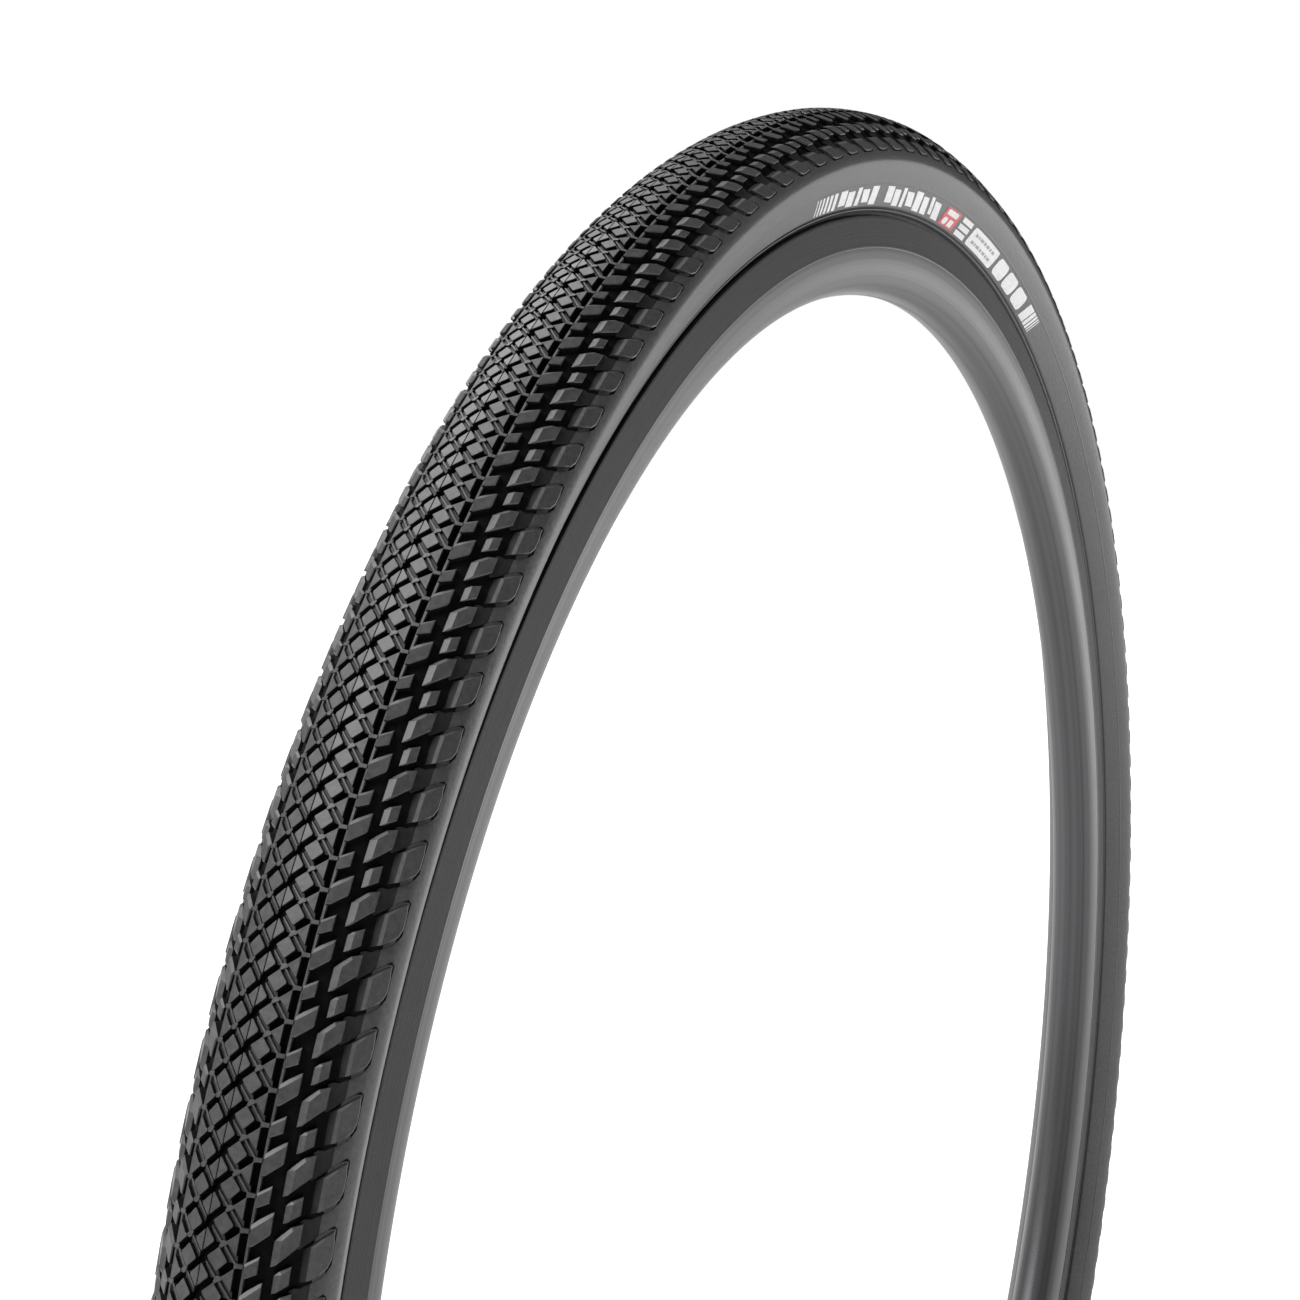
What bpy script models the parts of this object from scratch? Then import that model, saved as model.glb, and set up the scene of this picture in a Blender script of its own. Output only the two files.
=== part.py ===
"""Gravel tyre 40-622 seated on a narrow box-section rim, with the tubeless valve that inflates it.

Frame: origin at the wheel centre, axle line along Y, +Z up, labelled side towards -Y, valve at the
bottom. All lengths are in metres.
"""
import math

import bmesh
import bpy
import numpy as np
from mathutils import Vector

# ---------------------------------------------------------------- driving dimensions
SEGMENTS = 40                     # facets round the wheel, shared by every ring so that they nest
GAP = 0.0003                      # clearance left between neighbouring solids

TREAD_RADIUS = 0.3500             # outside of the tread at the crown
HALF_WIDTH = 0.0198               # half of the inflated width
CROWN_RISE = 0.0160               # widest point to crown
CROWN_POWER = 1.72                # below 2 makes the shoulders fall away faster than an ellipse
CROWN_FULLNESS = 0.00045          # swell of the tread between the crown and the shoulder
FULLNESS_END = 0.66               # section point where that swell has died away
WIDEST_RADIUS = TREAD_RADIUS - CROWN_RISE
LIP_RADIUS = 0.3208               # corner where the sidewall ends above the rim flange
LIP_HALF_WIDTH = 0.0115
FLANK_POWER = 1.25                # how the sidewall bends from the widest point to the lip
BEAD_SEAT_RADIUS = 0.3110         # 622 mm bead seat diameter
NARROWING_RADIUS = 0.3190         # where the plies draw together above the bead core

TREAD_EDGE = 0.72                 # tread covers the crown up to here (0 crown, 1 widest, 2 lip)
CROWN_STATIONS = (0.0, 0.24, 0.48)   # section points of the crown layers, belt edge last
WALL_STATIONS = (0.85, 1.30, 1.70)   # section points that the sidewall layers share
CROWN_STACK = 0.0032              # extra rubber under the crown, gone at the shoulder

RIM_HALF_WIDTH = 0.0107
FLANGE_RADIUS = 0.3180
FLANGE_THICKNESS = 0.0016
TRACK_INNER_RADIUS = 0.3082       # brake track's inner edge
RIM_INNER_RADIUS = 0.2940
RIM_WALL = 0.0013
SHELF_RADIUS = BEAD_SEAT_RADIUS - 0.0007
WELL_RADIUS = 0.3072
WELL_HALF_WIDTH = 0.0040
SHELF_HALF_WIDTH = 0.0052

FLANGE_FACE = RIM_HALF_WIDTH - FLANGE_THICKNESS
CHAFER_PLANE = FLANGE_FACE - 0.00045
TURN_UP_PLANE = CHAFER_PLANE - 0.00065
BEAD_PLANE = TURN_UP_PLANE - 0.0014
PLY_FOOT_PLANE = BEAD_PLANE - 0.0014
LINER_FOOT_PLANE = PLY_FOOT_PLANE - 0.0007
BEAD_CORE_RADIUS = 0.0009
PLY_THICKNESS = 0.0004
CHAFER_THICKNESS = 0.0003
TAPE_THICKNESS = 0.0003

LABEL_START, LABEL_END = 54.0, 108.0      # degrees up from +X on the -Y side, on facet edges

VALVE_SIDES = 16
STEM_RADIUS = 0.0030
STEM_BORE = 0.0019
AIR_BORE = 0.0013
NECK_RADIUS = 0.0022
CAP_THREAD_RADIUS = 0.0026
HOLE_RADIUS = STEM_RADIUS + GAP
STEM_END = 0.2560                 # distance of the stem's free end from the axle
CORE_BORE = 0.0010
CORE_RADIUS = STEM_BORE - GAP
PIN_RADIUS = 0.0006

# ---------------------------------------------------------------- scene and collections
for leftover in list(bpy.data.objects):
    bpy.data.objects.remove(leftover, do_unlink=True)


def new_collection(name):
    collection = bpy.data.collections.new(name)
    bpy.context.scene.collection.children.link(collection)
    return collection


PARTS = new_collection("gravel_tyre")
CUTTERS = new_collection("cutters")


def material(name, color, roughness, metallic=0.0):
    made = bpy.data.materials.new(name)
    made.use_nodes = True
    shader = made.node_tree.nodes["Principled BSDF"]
    shader.inputs["Base Color"].default_value = (*color, 1.0)
    shader.inputs["Roughness"].default_value = roughness
    shader.inputs["Metallic"].default_value = metallic
    made.diffuse_color = (*color, 1.0)
    return made


TREAD_RUBBER = (0.030, 0.030, 0.032)
SIDE_RUBBER = (0.045, 0.045, 0.047)
SOFT_RUBBER = (0.020, 0.020, 0.020)
BROWN_FABRIC = (0.200, 0.170, 0.110)
GREY_FABRIC = (0.110, 0.110, 0.110)
YELLOW_ARAMID = (0.600, 0.480, 0.120)
BLACK_ALLOY = (0.050, 0.050, 0.053)
TAPE_FILM = (0.550, 0.500, 0.100)
WHITE_PRINT = (0.800, 0.800, 0.800)
BRASS = (0.750, 0.580, 0.300)


# ---------------------------------------------------------------- turned shapes
def turned(name, loops, finish, axis_centre=None, sides=SEGMENTS, closed=True, sweep=360.0, turn=0.0,
           thickness=None):
    """Turn profiles of (radius, along-axis) points with a Screw modifier.

    Without axis_centre the axis is the axle, Y. With it the axis is Z through that point.
    A closed loop runs clockwise in (radius, along) for an outside and anticlockwise for a hollow.
    """
    mesh = bpy.data.meshes.new(name)
    shape = bmesh.new()
    for loop in loops:
        verts = [shape.verts.new((radius, 0.0, along)) for radius, along in loop]
        pairs = list(zip(verts, verts[1:]))
        if closed:
            pairs.append((verts[-1], verts[0]))
        for start, end in pairs:
            shape.edges.new((start, end))
    shape.to_mesh(mesh)
    shape.free()
    piece = bpy.data.objects.new(name, mesh)
    PARTS.objects.link(piece)
    mesh.materials.append(material(name, *finish))
    if axis_centre is None:
        piece.rotation_euler = (-math.pi / 2, -math.radians(turn), 0.0)
    else:
        piece.location = axis_centre
    screw = piece.modifiers.new("Turn", "SCREW")
    screw.angle = math.radians(sweep)
    screw.steps = sides
    screw.render_steps = sides
    screw.use_merge_vertices = sweep == 360.0
    screw.merge_threshold = 0.00001
    if thickness is not None:
        skin = piece.modifiers.new("Thickness", "SOLIDIFY")
        skin.thickness = thickness
        skin.offset = 0.0
        skin.use_even_offset = True
    return piece


def mirrored(half):
    """A whole section from its +Y half, listed from the middle of the section outwards."""
    other = [(radius, -along) for radius, along in reversed(half) if along > 0.0]
    return other + half


def flipped(points):
    return [(radius, -along) for radius, along in points]


def clockwise(points):
    area = sum(a[0] * b[1] - b[0] * a[1] for a, b in zip(points, points[1:] + points[:1]))
    return points if area < 0.0 else points[::-1]


def anticlockwise(points):
    return clockwise(points)[::-1]


# ---------------------------------------------------------------- the tyre's outside curve
def outside(t):
    """Point (radius, half width) of the mould surface: t = 0 crown, 1 widest point, 2 lip."""
    if t <= 1.0:
        angle = t * math.pi / 2
        cosine, sine = math.cos(angle), math.sin(angle)
        reach = (abs(cosine) ** CROWN_POWER + abs(sine) ** CROWN_POWER) ** (-1.0 / CROWN_POWER)
        swell = CROWN_FULLNESS * math.sin(math.pi * min(abs(t) / FULLNESS_END, 1.0)) ** 2
        return WIDEST_RADIUS + CROWN_RISE * reach * cosine + swell, HALF_WIDTH * reach * sine
    down = t - 1.0
    radius = WIDEST_RADIUS - (WIDEST_RADIUS - LIP_RADIUS) * down
    return radius, HALF_WIDTH - (HALF_WIDTH - LIP_HALF_WIDTH) * down ** FLANK_POWER


def below(t, depth):
    """Point at a depth under the outside curve, measured along its normal."""
    step = 0.002
    before, after = outside(max(t - step, -step)), outside(t + step)
    along = Vector((after[0] - before[0], after[1] - before[1])).normalized()
    radius, width = outside(t)
    if t == 0.0:
        return radius - depth, 0.0
    return radius - along.y * depth, width + along.x * depth


def stack_depth(t, side_depth):
    """Depth of a layer: its depth in the sidewall plus the crown rubber, which fades at the shoulder."""
    fade = min(max((0.95 - t) / 0.55, 0.0), 1.0)
    return side_depth + CROWN_STACK * fade


def layer_path(stations, side_depth):
    return [below(t, stack_depth(t, side_depth)) for t in stations]


# ---------------------------------------------------------------- tyre
def tread():
    top = mirrored([outside(t) for t in CROWN_STATIONS + (TREAD_EDGE,)])
    base = mirrored([below(t, stack_depth(t, 0.0004)) for t in CROWN_STATIONS + (TREAD_EDGE,)])
    turned("tread", [clockwise(top + base[::-1])], (TREAD_RUBBER, 0.6))


def breaker_belt():
    path = mirrored(layer_path(CROWN_STATIONS, 0.0009))
    turned("breaker_belt", [path], (GREY_FABRIC, 0.8), closed=False, thickness=PLY_THICKNESS)


def casing():
    """One ply from bead to bead, each edge passing inside and under its bead core and turned up outside."""
    half = layer_path((0.0, 0.48) + WALL_STATIONS, 0.00165)
    half += [
        (NARROWING_RADIUS, TURN_UP_PLANE - 0.0009),
        (BEAD_SEAT_RADIUS + 0.0043, PLY_FOOT_PLANE),
        (BEAD_SEAT_RADIUS + 0.0012, PLY_FOOT_PLANE),
        (BEAD_SEAT_RADIUS + 0.0012, TURN_UP_PLANE),
        (0.3186, TURN_UP_PLANE),
    ]
    turned("casing", [mirrored(half)], (BROWN_FABRIC, 0.8), closed=False, thickness=PLY_THICKNESS)


def inner_liner():
    half = layer_path((0.0, 0.48) + WALL_STATIONS, 0.0024)
    half += [
        (NARROWING_RADIUS + 0.0003, TURN_UP_PLANE - 0.0018),
        (BEAD_SEAT_RADIUS + 0.0046, LINER_FOOT_PLANE),
        (BEAD_SEAT_RADIUS + 0.0012, LINER_FOOT_PLANE),
    ]
    turned("inner_liner", [mirrored(half)], (SOFT_RUBBER, 0.5), closed=False, thickness=PLY_THICKNESS)


def sidewall(name, side):
    """Rubber skin from the tread edge to the lip, with a heavier toe over the flange."""
    start = TREAD_EDGE + 0.016
    skin = [outside(t) for t in (start, 1.0, 1.30, 1.70, 2.0)]
    toe = [(LIP_RADIUS - 0.0009, LIP_HALF_WIDTH - 0.0008), (LIP_RADIUS - 0.0010, CHAFER_PLANE + 0.0003)]
    back = [below(t, stack_depth(t, 0.0009)) for t in WALL_STATIONS[::-1] + (start,)]
    loop = skin + toe + back
    loop = loop if side > 0 else flipped(loop)
    turned(name, [clockwise(loop)], (SIDE_RUBBER, 0.55))


def bead_core(name, side):
    corners = 6
    centre = (BEAD_SEAT_RADIUS + 0.0012 + 0.0014, side * BEAD_PLANE)
    angles = [2 * math.pi * k / corners for k in range(corners)]
    loop = [(centre[0] + BEAD_CORE_RADIUS * math.cos(a), centre[1] + BEAD_CORE_RADIUS * math.sin(a))
            for a in angles]
    turned(name, [clockwise(loop)], (YELLOW_ARAMID, 0.7))


def chafer(name, side):
    """Woven strip between the bead and the rim: up the flange and across the seat."""
    path = [
        (0.3188, CHAFER_PLANE),
        (BEAD_SEAT_RADIUS + 0.00045, CHAFER_PLANE),
        (BEAD_SEAT_RADIUS + 0.00045, LINER_FOOT_PLANE),
    ]
    path = path if side > 0 else flipped(path)
    turned(name, [path], (GREY_FABRIC, 0.8), closed=False, thickness=CHAFER_THICKNESS)


def sidewall_label(name, side):
    """Printed film on the flank; the far side carries the same film half a turn about Z."""
    span = LABEL_END - LABEL_START
    path = [below(t, -0.00045) for t in (1.30, 1.70, 1.95)]
    path = path if side > 0 else flipped(path)
    turn = LABEL_END if side < 0 else 180.0 - LABEL_START
    steps = round(span * SEGMENTS / 360.0)
    turned(name, [path], (WHITE_PRINT, 0.5), sides=steps, closed=False, sweep=span, turn=turn,
           thickness=CHAFER_THICKNESS)


# ---------------------------------------------------------------- rim
def rim_bottom(start, stop, count, inset=0.0):
    """Points of the half-elliptic spoke bed, by angle from the brake track round to the middle."""
    points = []
    for angle in np.radians(np.linspace(start, stop, count)):
        drop = (TRACK_INNER_RADIUS - RIM_INNER_RADIUS - inset) * math.sin(angle)
        points.append((TRACK_INNER_RADIUS - drop, (RIM_HALF_WIDTH - inset) * math.cos(angle)))
    return points


def rim():
    outer = [
        (WELL_RADIUS, WELL_HALF_WIDTH),
        (SHELF_RADIUS, SHELF_HALF_WIDTH),
        (SHELF_RADIUS, FLANGE_FACE),
        (FLANGE_RADIUS - 0.0012, FLANGE_FACE),
        (FLANGE_RADIUS, FLANGE_FACE + 0.0005),
        (FLANGE_RADIUS, RIM_HALF_WIDTH - 0.0005),
        (FLANGE_RADIUS - 0.0005, RIM_HALF_WIDTH),
        (TRACK_INNER_RADIUS, RIM_HALF_WIDTH),
    ] + rim_bottom(14.0, 82.0, 4, inset=0.0002)
    chamber = [
        (WELL_RADIUS - RIM_WALL, WELL_HALF_WIDTH - 0.0006),
        (SHELF_RADIUS - RIM_WALL, SHELF_HALF_WIDTH - 0.0006),
        (SHELF_RADIUS - RIM_WALL, RIM_HALF_WIDTH - RIM_WALL),
    ] + rim_bottom(30.0, 82.0, 3, inset=RIM_WALL)
    body = turned("rim", [clockwise(mirrored(outer)), anticlockwise(mirrored(chamber))],
                  (BLACK_ALLOY, 0.35, 0.8))
    drill(body, HOLE_RADIUS)


def rim_tape():
    lift = TAPE_THICKNESS / 2 + GAP
    half = [
        (WELL_RADIUS + lift, WELL_HALF_WIDTH - 0.00045),
        (SHELF_RADIUS + lift, SHELF_HALF_WIDTH - 0.00035),
        (SHELF_RADIUS + lift, FLANGE_FACE - GAP),
    ]
    tape = turned("rim_tape", [mirrored(half)], (TAPE_FILM, 0.4), closed=False, thickness=TAPE_THICKNESS)
    drill(tape, HOLE_RADIUS)


def drill(piece, radius):
    """Cut the valve hole, straight down through the ring at its lowest point."""
    bpy.ops.mesh.primitive_cylinder_add(vertices=VALVE_SIDES, radius=radius, depth=0.060,
                                        location=(0.0, 0.0, -0.3000))
    cutter = bpy.context.object
    cutter.name = piece.name + "_valve_hole"
    for holder in list(cutter.users_collection):
        holder.objects.unlink(cutter)
    CUTTERS.objects.link(cutter)
    cutter.hide_render = True
    cutter.display_type = "WIRE"
    cut = piece.modifiers.new("Valve hole", "BOOLEAN")
    cut.operation = "DIFFERENCE"
    cut.object = cutter


# ---------------------------------------------------------------- valve, turned about Z
def valve_piece(name, profile, finish):
    """Profile points are (radius, distance from the axle); the valve stands at the wheel's bottom."""
    loop = [(radius, -distance) for radius, distance in profile]
    turned(name, [clockwise(loop)], finish, axis_centre=(0.0, 0.0, 0.0), sides=VALVE_SIDES)


def tube(name, inner, outer, near, far, finish):
    valve_piece(name, [(inner, near), (outer, near), (outer, far), (inner, far)], finish)


def valve():
    neck_top, head_top = 0.3122, 0.3130
    shoulder = WELL_RADIUS + 0.0007
    valve_piece("valve_stem", [
        (STEM_BORE, STEM_END), (CAP_THREAD_RADIUS, STEM_END), (CAP_THREAD_RADIUS, 0.2620),
        (STEM_RADIUS, 0.2624), (STEM_RADIUS, shoulder), (NECK_RADIUS, shoulder),
        (NECK_RADIUS, neck_top), (0.0034, neck_top), (0.0034, head_top), (AIR_BORE, head_top),
        (AIR_BORE, 0.2930), (STEM_BORE, 0.2925),
    ], (BLACK_ALLOY, 0.35, 0.9))
    foot = shoulder + GAP
    valve_piece("valve_base", [
        (NECK_RADIUS + GAP, foot), (0.0032, foot), (0.0037, foot + 0.0020), (0.0037, neck_top - GAP),
        (NECK_RADIUS + GAP, neck_top - GAP),
    ], (SOFT_RUBBER, 0.6))

    seat = RIM_INNER_RADIUS - 0.0008
    tube("valve_o_ring", HOLE_RADIUS, 0.0049, seat - 0.0014, seat, (SOFT_RUBBER, 0.5))
    nut_far = seat - 0.0014 - GAP
    valve_piece("valve_rim_nut", [
        (HOLE_RADIUS, nut_far), (HOLE_RADIUS, nut_far - 0.0035), (0.0054, nut_far - 0.0035),
        (0.0060, nut_far - 0.0030), (0.0060, nut_far - 0.0004), (0.0056, nut_far),
    ], (BLACK_ALLOY, 0.35, 0.9))

    tube("valve_core_gasket", CORE_RADIUS + GAP, 0.0025, STEM_END - 0.0010, STEM_END - GAP,
         (SOFT_RUBBER, 0.5))
    head = STEM_END - 0.0010 - GAP
    core_end = 0.2860
    valve_piece("valve_core", [
        (CORE_BORE, core_end), (CORE_BORE, head - 0.0020), (0.0024, head - 0.0020), (0.0024, head),
        (CORE_RADIUS, head), (CORE_RADIUS, core_end),
    ], (BRASS, 0.3, 1.0))

    seal = core_end + GAP
    tube("valve_pin_seal", PIN_RADIUS + GAP, 0.0015, seal, seal + 0.0012, (SOFT_RUBBER, 0.5))
    button = seal + 0.0012 + GAP
    pin_top = 0.2470
    valve_piece("valve_pin", [
        (0.0, pin_top), (PIN_RADIUS, pin_top), (PIN_RADIUS, button), (0.0012, button),
        (0.0012, button + 0.0010), (0.0, button + 0.0010),
    ], (BRASS, 0.3, 1.0))
    nut_low = head - 0.0020 - 0.0024
    tube("valve_pin_nut", PIN_RADIUS + GAP, 0.0020, nut_low - 0.0025, nut_low, (BRASS, 0.3, 1.0))

    cap_mouth, cap_top = 0.2610, 0.2440
    cap_bore = CAP_THREAD_RADIUS + GAP
    valve_piece("valve_cap", [
        (0.0, cap_top), (0.0026, cap_top), (0.0036, cap_top + 0.0012), (0.0036, cap_mouth),
        (cap_bore, cap_mouth), (cap_bore, cap_top + 0.0014), (0.0, cap_top + 0.0014),
    ], (SOFT_RUBBER, 0.4))


# ---------------------------------------------------------------- build
tread()
breaker_belt()
casing()
inner_liner()
for suffix, side in (("left", -1), ("right", 1)):
    sidewall("sidewall_" + suffix, side)
    sidewall_label("sidewall_label_" + suffix, side)
    bead_core("bead_core_" + suffix, side)
    chafer("chafer_" + suffix, side)
rim()
rim_tape()
valve()

for part in PARTS.objects:
    for polygon in part.data.polygons:
        polygon.use_smooth = True
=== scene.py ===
"""Gravel tyre on its rim: smooth round surfaces, moulded tread, printed labels and turned metal."""
import math

import bmesh
import bpy
import numpy as np
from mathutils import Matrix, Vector


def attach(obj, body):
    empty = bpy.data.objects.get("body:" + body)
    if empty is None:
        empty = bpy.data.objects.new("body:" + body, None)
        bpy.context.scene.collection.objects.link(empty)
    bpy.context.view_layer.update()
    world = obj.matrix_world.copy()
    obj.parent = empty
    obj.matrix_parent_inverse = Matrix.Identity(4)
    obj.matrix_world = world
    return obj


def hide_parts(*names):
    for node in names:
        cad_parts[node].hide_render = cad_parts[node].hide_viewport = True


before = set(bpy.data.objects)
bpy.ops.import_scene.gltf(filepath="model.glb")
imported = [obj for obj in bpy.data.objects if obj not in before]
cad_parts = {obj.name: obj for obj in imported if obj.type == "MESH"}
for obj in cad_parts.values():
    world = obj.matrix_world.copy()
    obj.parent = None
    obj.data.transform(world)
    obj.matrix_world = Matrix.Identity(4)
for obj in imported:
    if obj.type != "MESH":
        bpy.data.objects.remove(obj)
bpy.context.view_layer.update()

# ---------------------------------------------------------------- section, in metres
TREAD_RADIUS = 0.3500
HALF_WIDTH = 0.0198
CROWN_RISE = 0.0160
CROWN_POWER = 1.72
CROWN_FULLNESS = 0.00045
FULLNESS_END = 0.66
WIDEST_RADIUS = TREAD_RADIUS - CROWN_RISE
LIP_RADIUS = 0.3208
LIP_HALF_WIDTH = 0.0115
FLANK_POWER = 1.25

RIM_HALF_WIDTH = 0.0107
FLANGE_RADIUS = 0.3180
FLANGE_FACE = 0.0091
TRACK_INNER_RADIUS = 0.3082
RIM_INNER_RADIUS = 0.2940
SHELF_RADIUS = 0.3103
WELL_RADIUS = 0.3072
WELL_HALF_WIDTH = 0.0040
SHELF_HALF_WIDTH = 0.0052
VALVE_HOLE_RADIUS = 0.0033

# ---------------------------------------------------------------- tread layout, in millimetres
PITCHES = 172                    # tread pitches round the wheel
PITCH = 12.8                     # length of one at the crown
START = 146.0                    # angle in degrees where x = 0 of the layout lies
MIDDLE = -0.35                   # middle line of the centre band
TREAD_EDGE = 20.3                # where the tread meets the sidewalls, measured across the section
CENTRE_FLOOR = 2.0               # depth where the centre band's walls end, just under the smooth body
COLUMN_FLOOR = 1.75              # the same for the two columns of each side
TURN_POINT = 6.0                 # x of the point that the centre band's far half is turned about
PRINT_LOW, PRINT_HIGH = 36.0, 42.6   # the print's band on the flank
BARE = 0.09                      # how far the print stands out
RAISED = 0.13                    # the same for what is printed on top of it

# ---------------------------------------------------------------- how finely the round pieces are cut
TREAD_STEPS = 4 * PITCHES
WALL_STEPS = 720
SECTION_STEPS = 2001
SMOOTHING = 80                   # section steps to each side that the skin's direction is averaged over


def outside(t):
    """(radius, half breadth) of the outer skin: t is 0 at the crown, 1 at the widest point, 2 at the lip."""
    if t <= 1.0:
        angle = t * math.pi / 2
        cosine, sine = math.cos(angle), math.sin(angle)
        reach = (abs(cosine) ** CROWN_POWER + abs(sine) ** CROWN_POWER) ** (-1.0 / CROWN_POWER)
        swell = CROWN_FULLNESS * math.sin(math.pi * min(t / FULLNESS_END, 1.0)) ** 2
        return WIDEST_RADIUS + CROWN_RISE * reach * cosine + swell, HALF_WIDTH * reach * sine
    down = t - 1.0
    radius = WIDEST_RADIUS - (WIDEST_RADIUS - LIP_RADIUS) * down
    return radius, HALF_WIDTH - (HALF_WIDTH - LIP_HALF_WIDTH) * down ** FLANK_POWER


SECTION_POINTS = np.linspace(0.0, 2.0, SECTION_STEPS)
SECTION = np.array([outside(t) for t in SECTION_POINTS])
ARC = np.concatenate([[0.0], np.cumsum(np.hypot(*np.diff(SECTION, axis=0).T))]) * 1000.0
SLOPE = np.gradient(SECTION, axis=0)
SLOPE /= np.linalg.norm(SLOPE, axis=1)[:, None]
KERNEL = np.hanning(2 * SMOOTHING + 1) / np.hanning(2 * SMOOTHING + 1).sum()
OUTWARD = np.stack([SLOPE[:, 1], -SLOPE[:, 0]], axis=1)
OUTWARD = np.stack([np.convolve(np.pad(OUTWARD[:, k], SMOOTHING, "edge"), KERNEL, "valid") for k in (0, 1)],
                   axis=1)
OUTWARD[:SMOOTHING, 0] = np.maximum(OUTWARD[:SMOOTHING, 0], 0.99)
OUTWARD /= np.linalg.norm(OUTWARD, axis=1)[:, None]


def skin(across, depth):
    """(radius, y) of points a distance in mm across the section from the crown and a depth below it."""
    across = np.asarray(across, float)
    depth = np.asarray(depth, float) / 1000.0
    away = np.abs(across)
    fade = np.clip(away / 2.0, 0.0, 1.0)
    radius = np.interp(away, ARC, SECTION[:, 0]) - depth * np.interp(away, ARC, OUTWARD[:, 0])
    breadth = np.interp(away, ARC, SECTION[:, 1]) - depth * np.interp(away, ARC, OUTWARD[:, 1]) * fade
    return radius, -np.sign(across) * breadth


def base_depth(away):
    """Depth in mm of the smooth body under the knobs."""
    return np.interp(away, [0.0, 6.6, 7.9, 8.1, 8.6, 8.9, 17.3, 19.2, 20.3, 21.2, 22.2, 23.2, 24.4],
                     [1.9, 1.9, 1.8, 0.55, 0.50, 1.6, 1.55, 1.45, 1.05, 0.75, 0.40, 0.15, 0.0])


# ---------------------------------------------------------------- materials
def new_material(name):
    made = bpy.data.materials.new(name)
    made.use_nodes = True
    tree = made.node_tree
    return made, tree, tree.nodes["Principled BSDF"]


def node(tree, kind, **values):
    made = tree.nodes.new(kind)
    for key, value in values.items():
        if key in made.inputs:
            made.inputs[key].default_value = value
        else:
            setattr(made, key, value)
    return made


GRAIN_DEPTH = 0.0004
GLOSS_SPREAD = 0.06


def grain(name, dark, light, rough, scale=900.0, bump=0.12, broad=14.0, metallic=0.0, specular=0.5):
    """A moulded or turned surface: colour that drifts between two tones, fine grain and uneven gloss."""
    made, tree, shader = new_material(name)
    link = tree.links.new
    place = node(tree, "ShaderNodeTexCoord")
    fine = node(tree, "ShaderNodeTexNoise", Scale=scale, Detail=4.0, Roughness=0.6)
    wide = node(tree, "ShaderNodeTexNoise", Scale=broad, Detail=5.0, Roughness=0.55)
    link(place.outputs["Object"], fine.inputs["Vector"])
    link(place.outputs["Object"], wide.inputs["Vector"])
    blend = node(tree, "ShaderNodeMath", operation="MULTIPLY_ADD")
    link(fine.outputs["Fac"], blend.inputs[0])
    blend.inputs[1].default_value = 0.55
    half = node(tree, "ShaderNodeMath", operation="MULTIPLY")
    link(wide.outputs["Fac"], half.inputs[0])
    half.inputs[1].default_value = 0.45
    link(half.outputs[0], blend.inputs[2])
    tone = node(tree, "ShaderNodeValToRGB")
    tone.color_ramp.elements[0].position = 0.36
    tone.color_ramp.elements[0].color = (*dark, 1.0)
    tone.color_ramp.elements[1].position = 0.64
    tone.color_ramp.elements[1].color = (*light, 1.0)
    link(blend.outputs[0], tone.inputs["Fac"])
    link(tone.outputs["Color"], shader.inputs["Base Color"])
    gloss = node(tree, "ShaderNodeMapRange")
    gloss.inputs["From Min"].default_value = 0.3
    gloss.inputs["From Max"].default_value = 0.7
    gloss.inputs["To Min"].default_value = rough - GLOSS_SPREAD
    gloss.inputs["To Max"].default_value = rough + GLOSS_SPREAD
    link(blend.outputs[0], gloss.inputs["Value"])
    link(gloss.outputs["Result"], shader.inputs["Roughness"])
    raised = node(tree, "ShaderNodeBump", Strength=bump, Distance=GRAIN_DEPTH)
    link(fine.outputs["Fac"], raised.inputs["Height"])
    link(raised.outputs["Normal"], shader.inputs["Normal"])
    shader.inputs["Metallic"].default_value = metallic
    shader.inputs["Specular IOR Level"].default_value = specular
    return made


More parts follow.
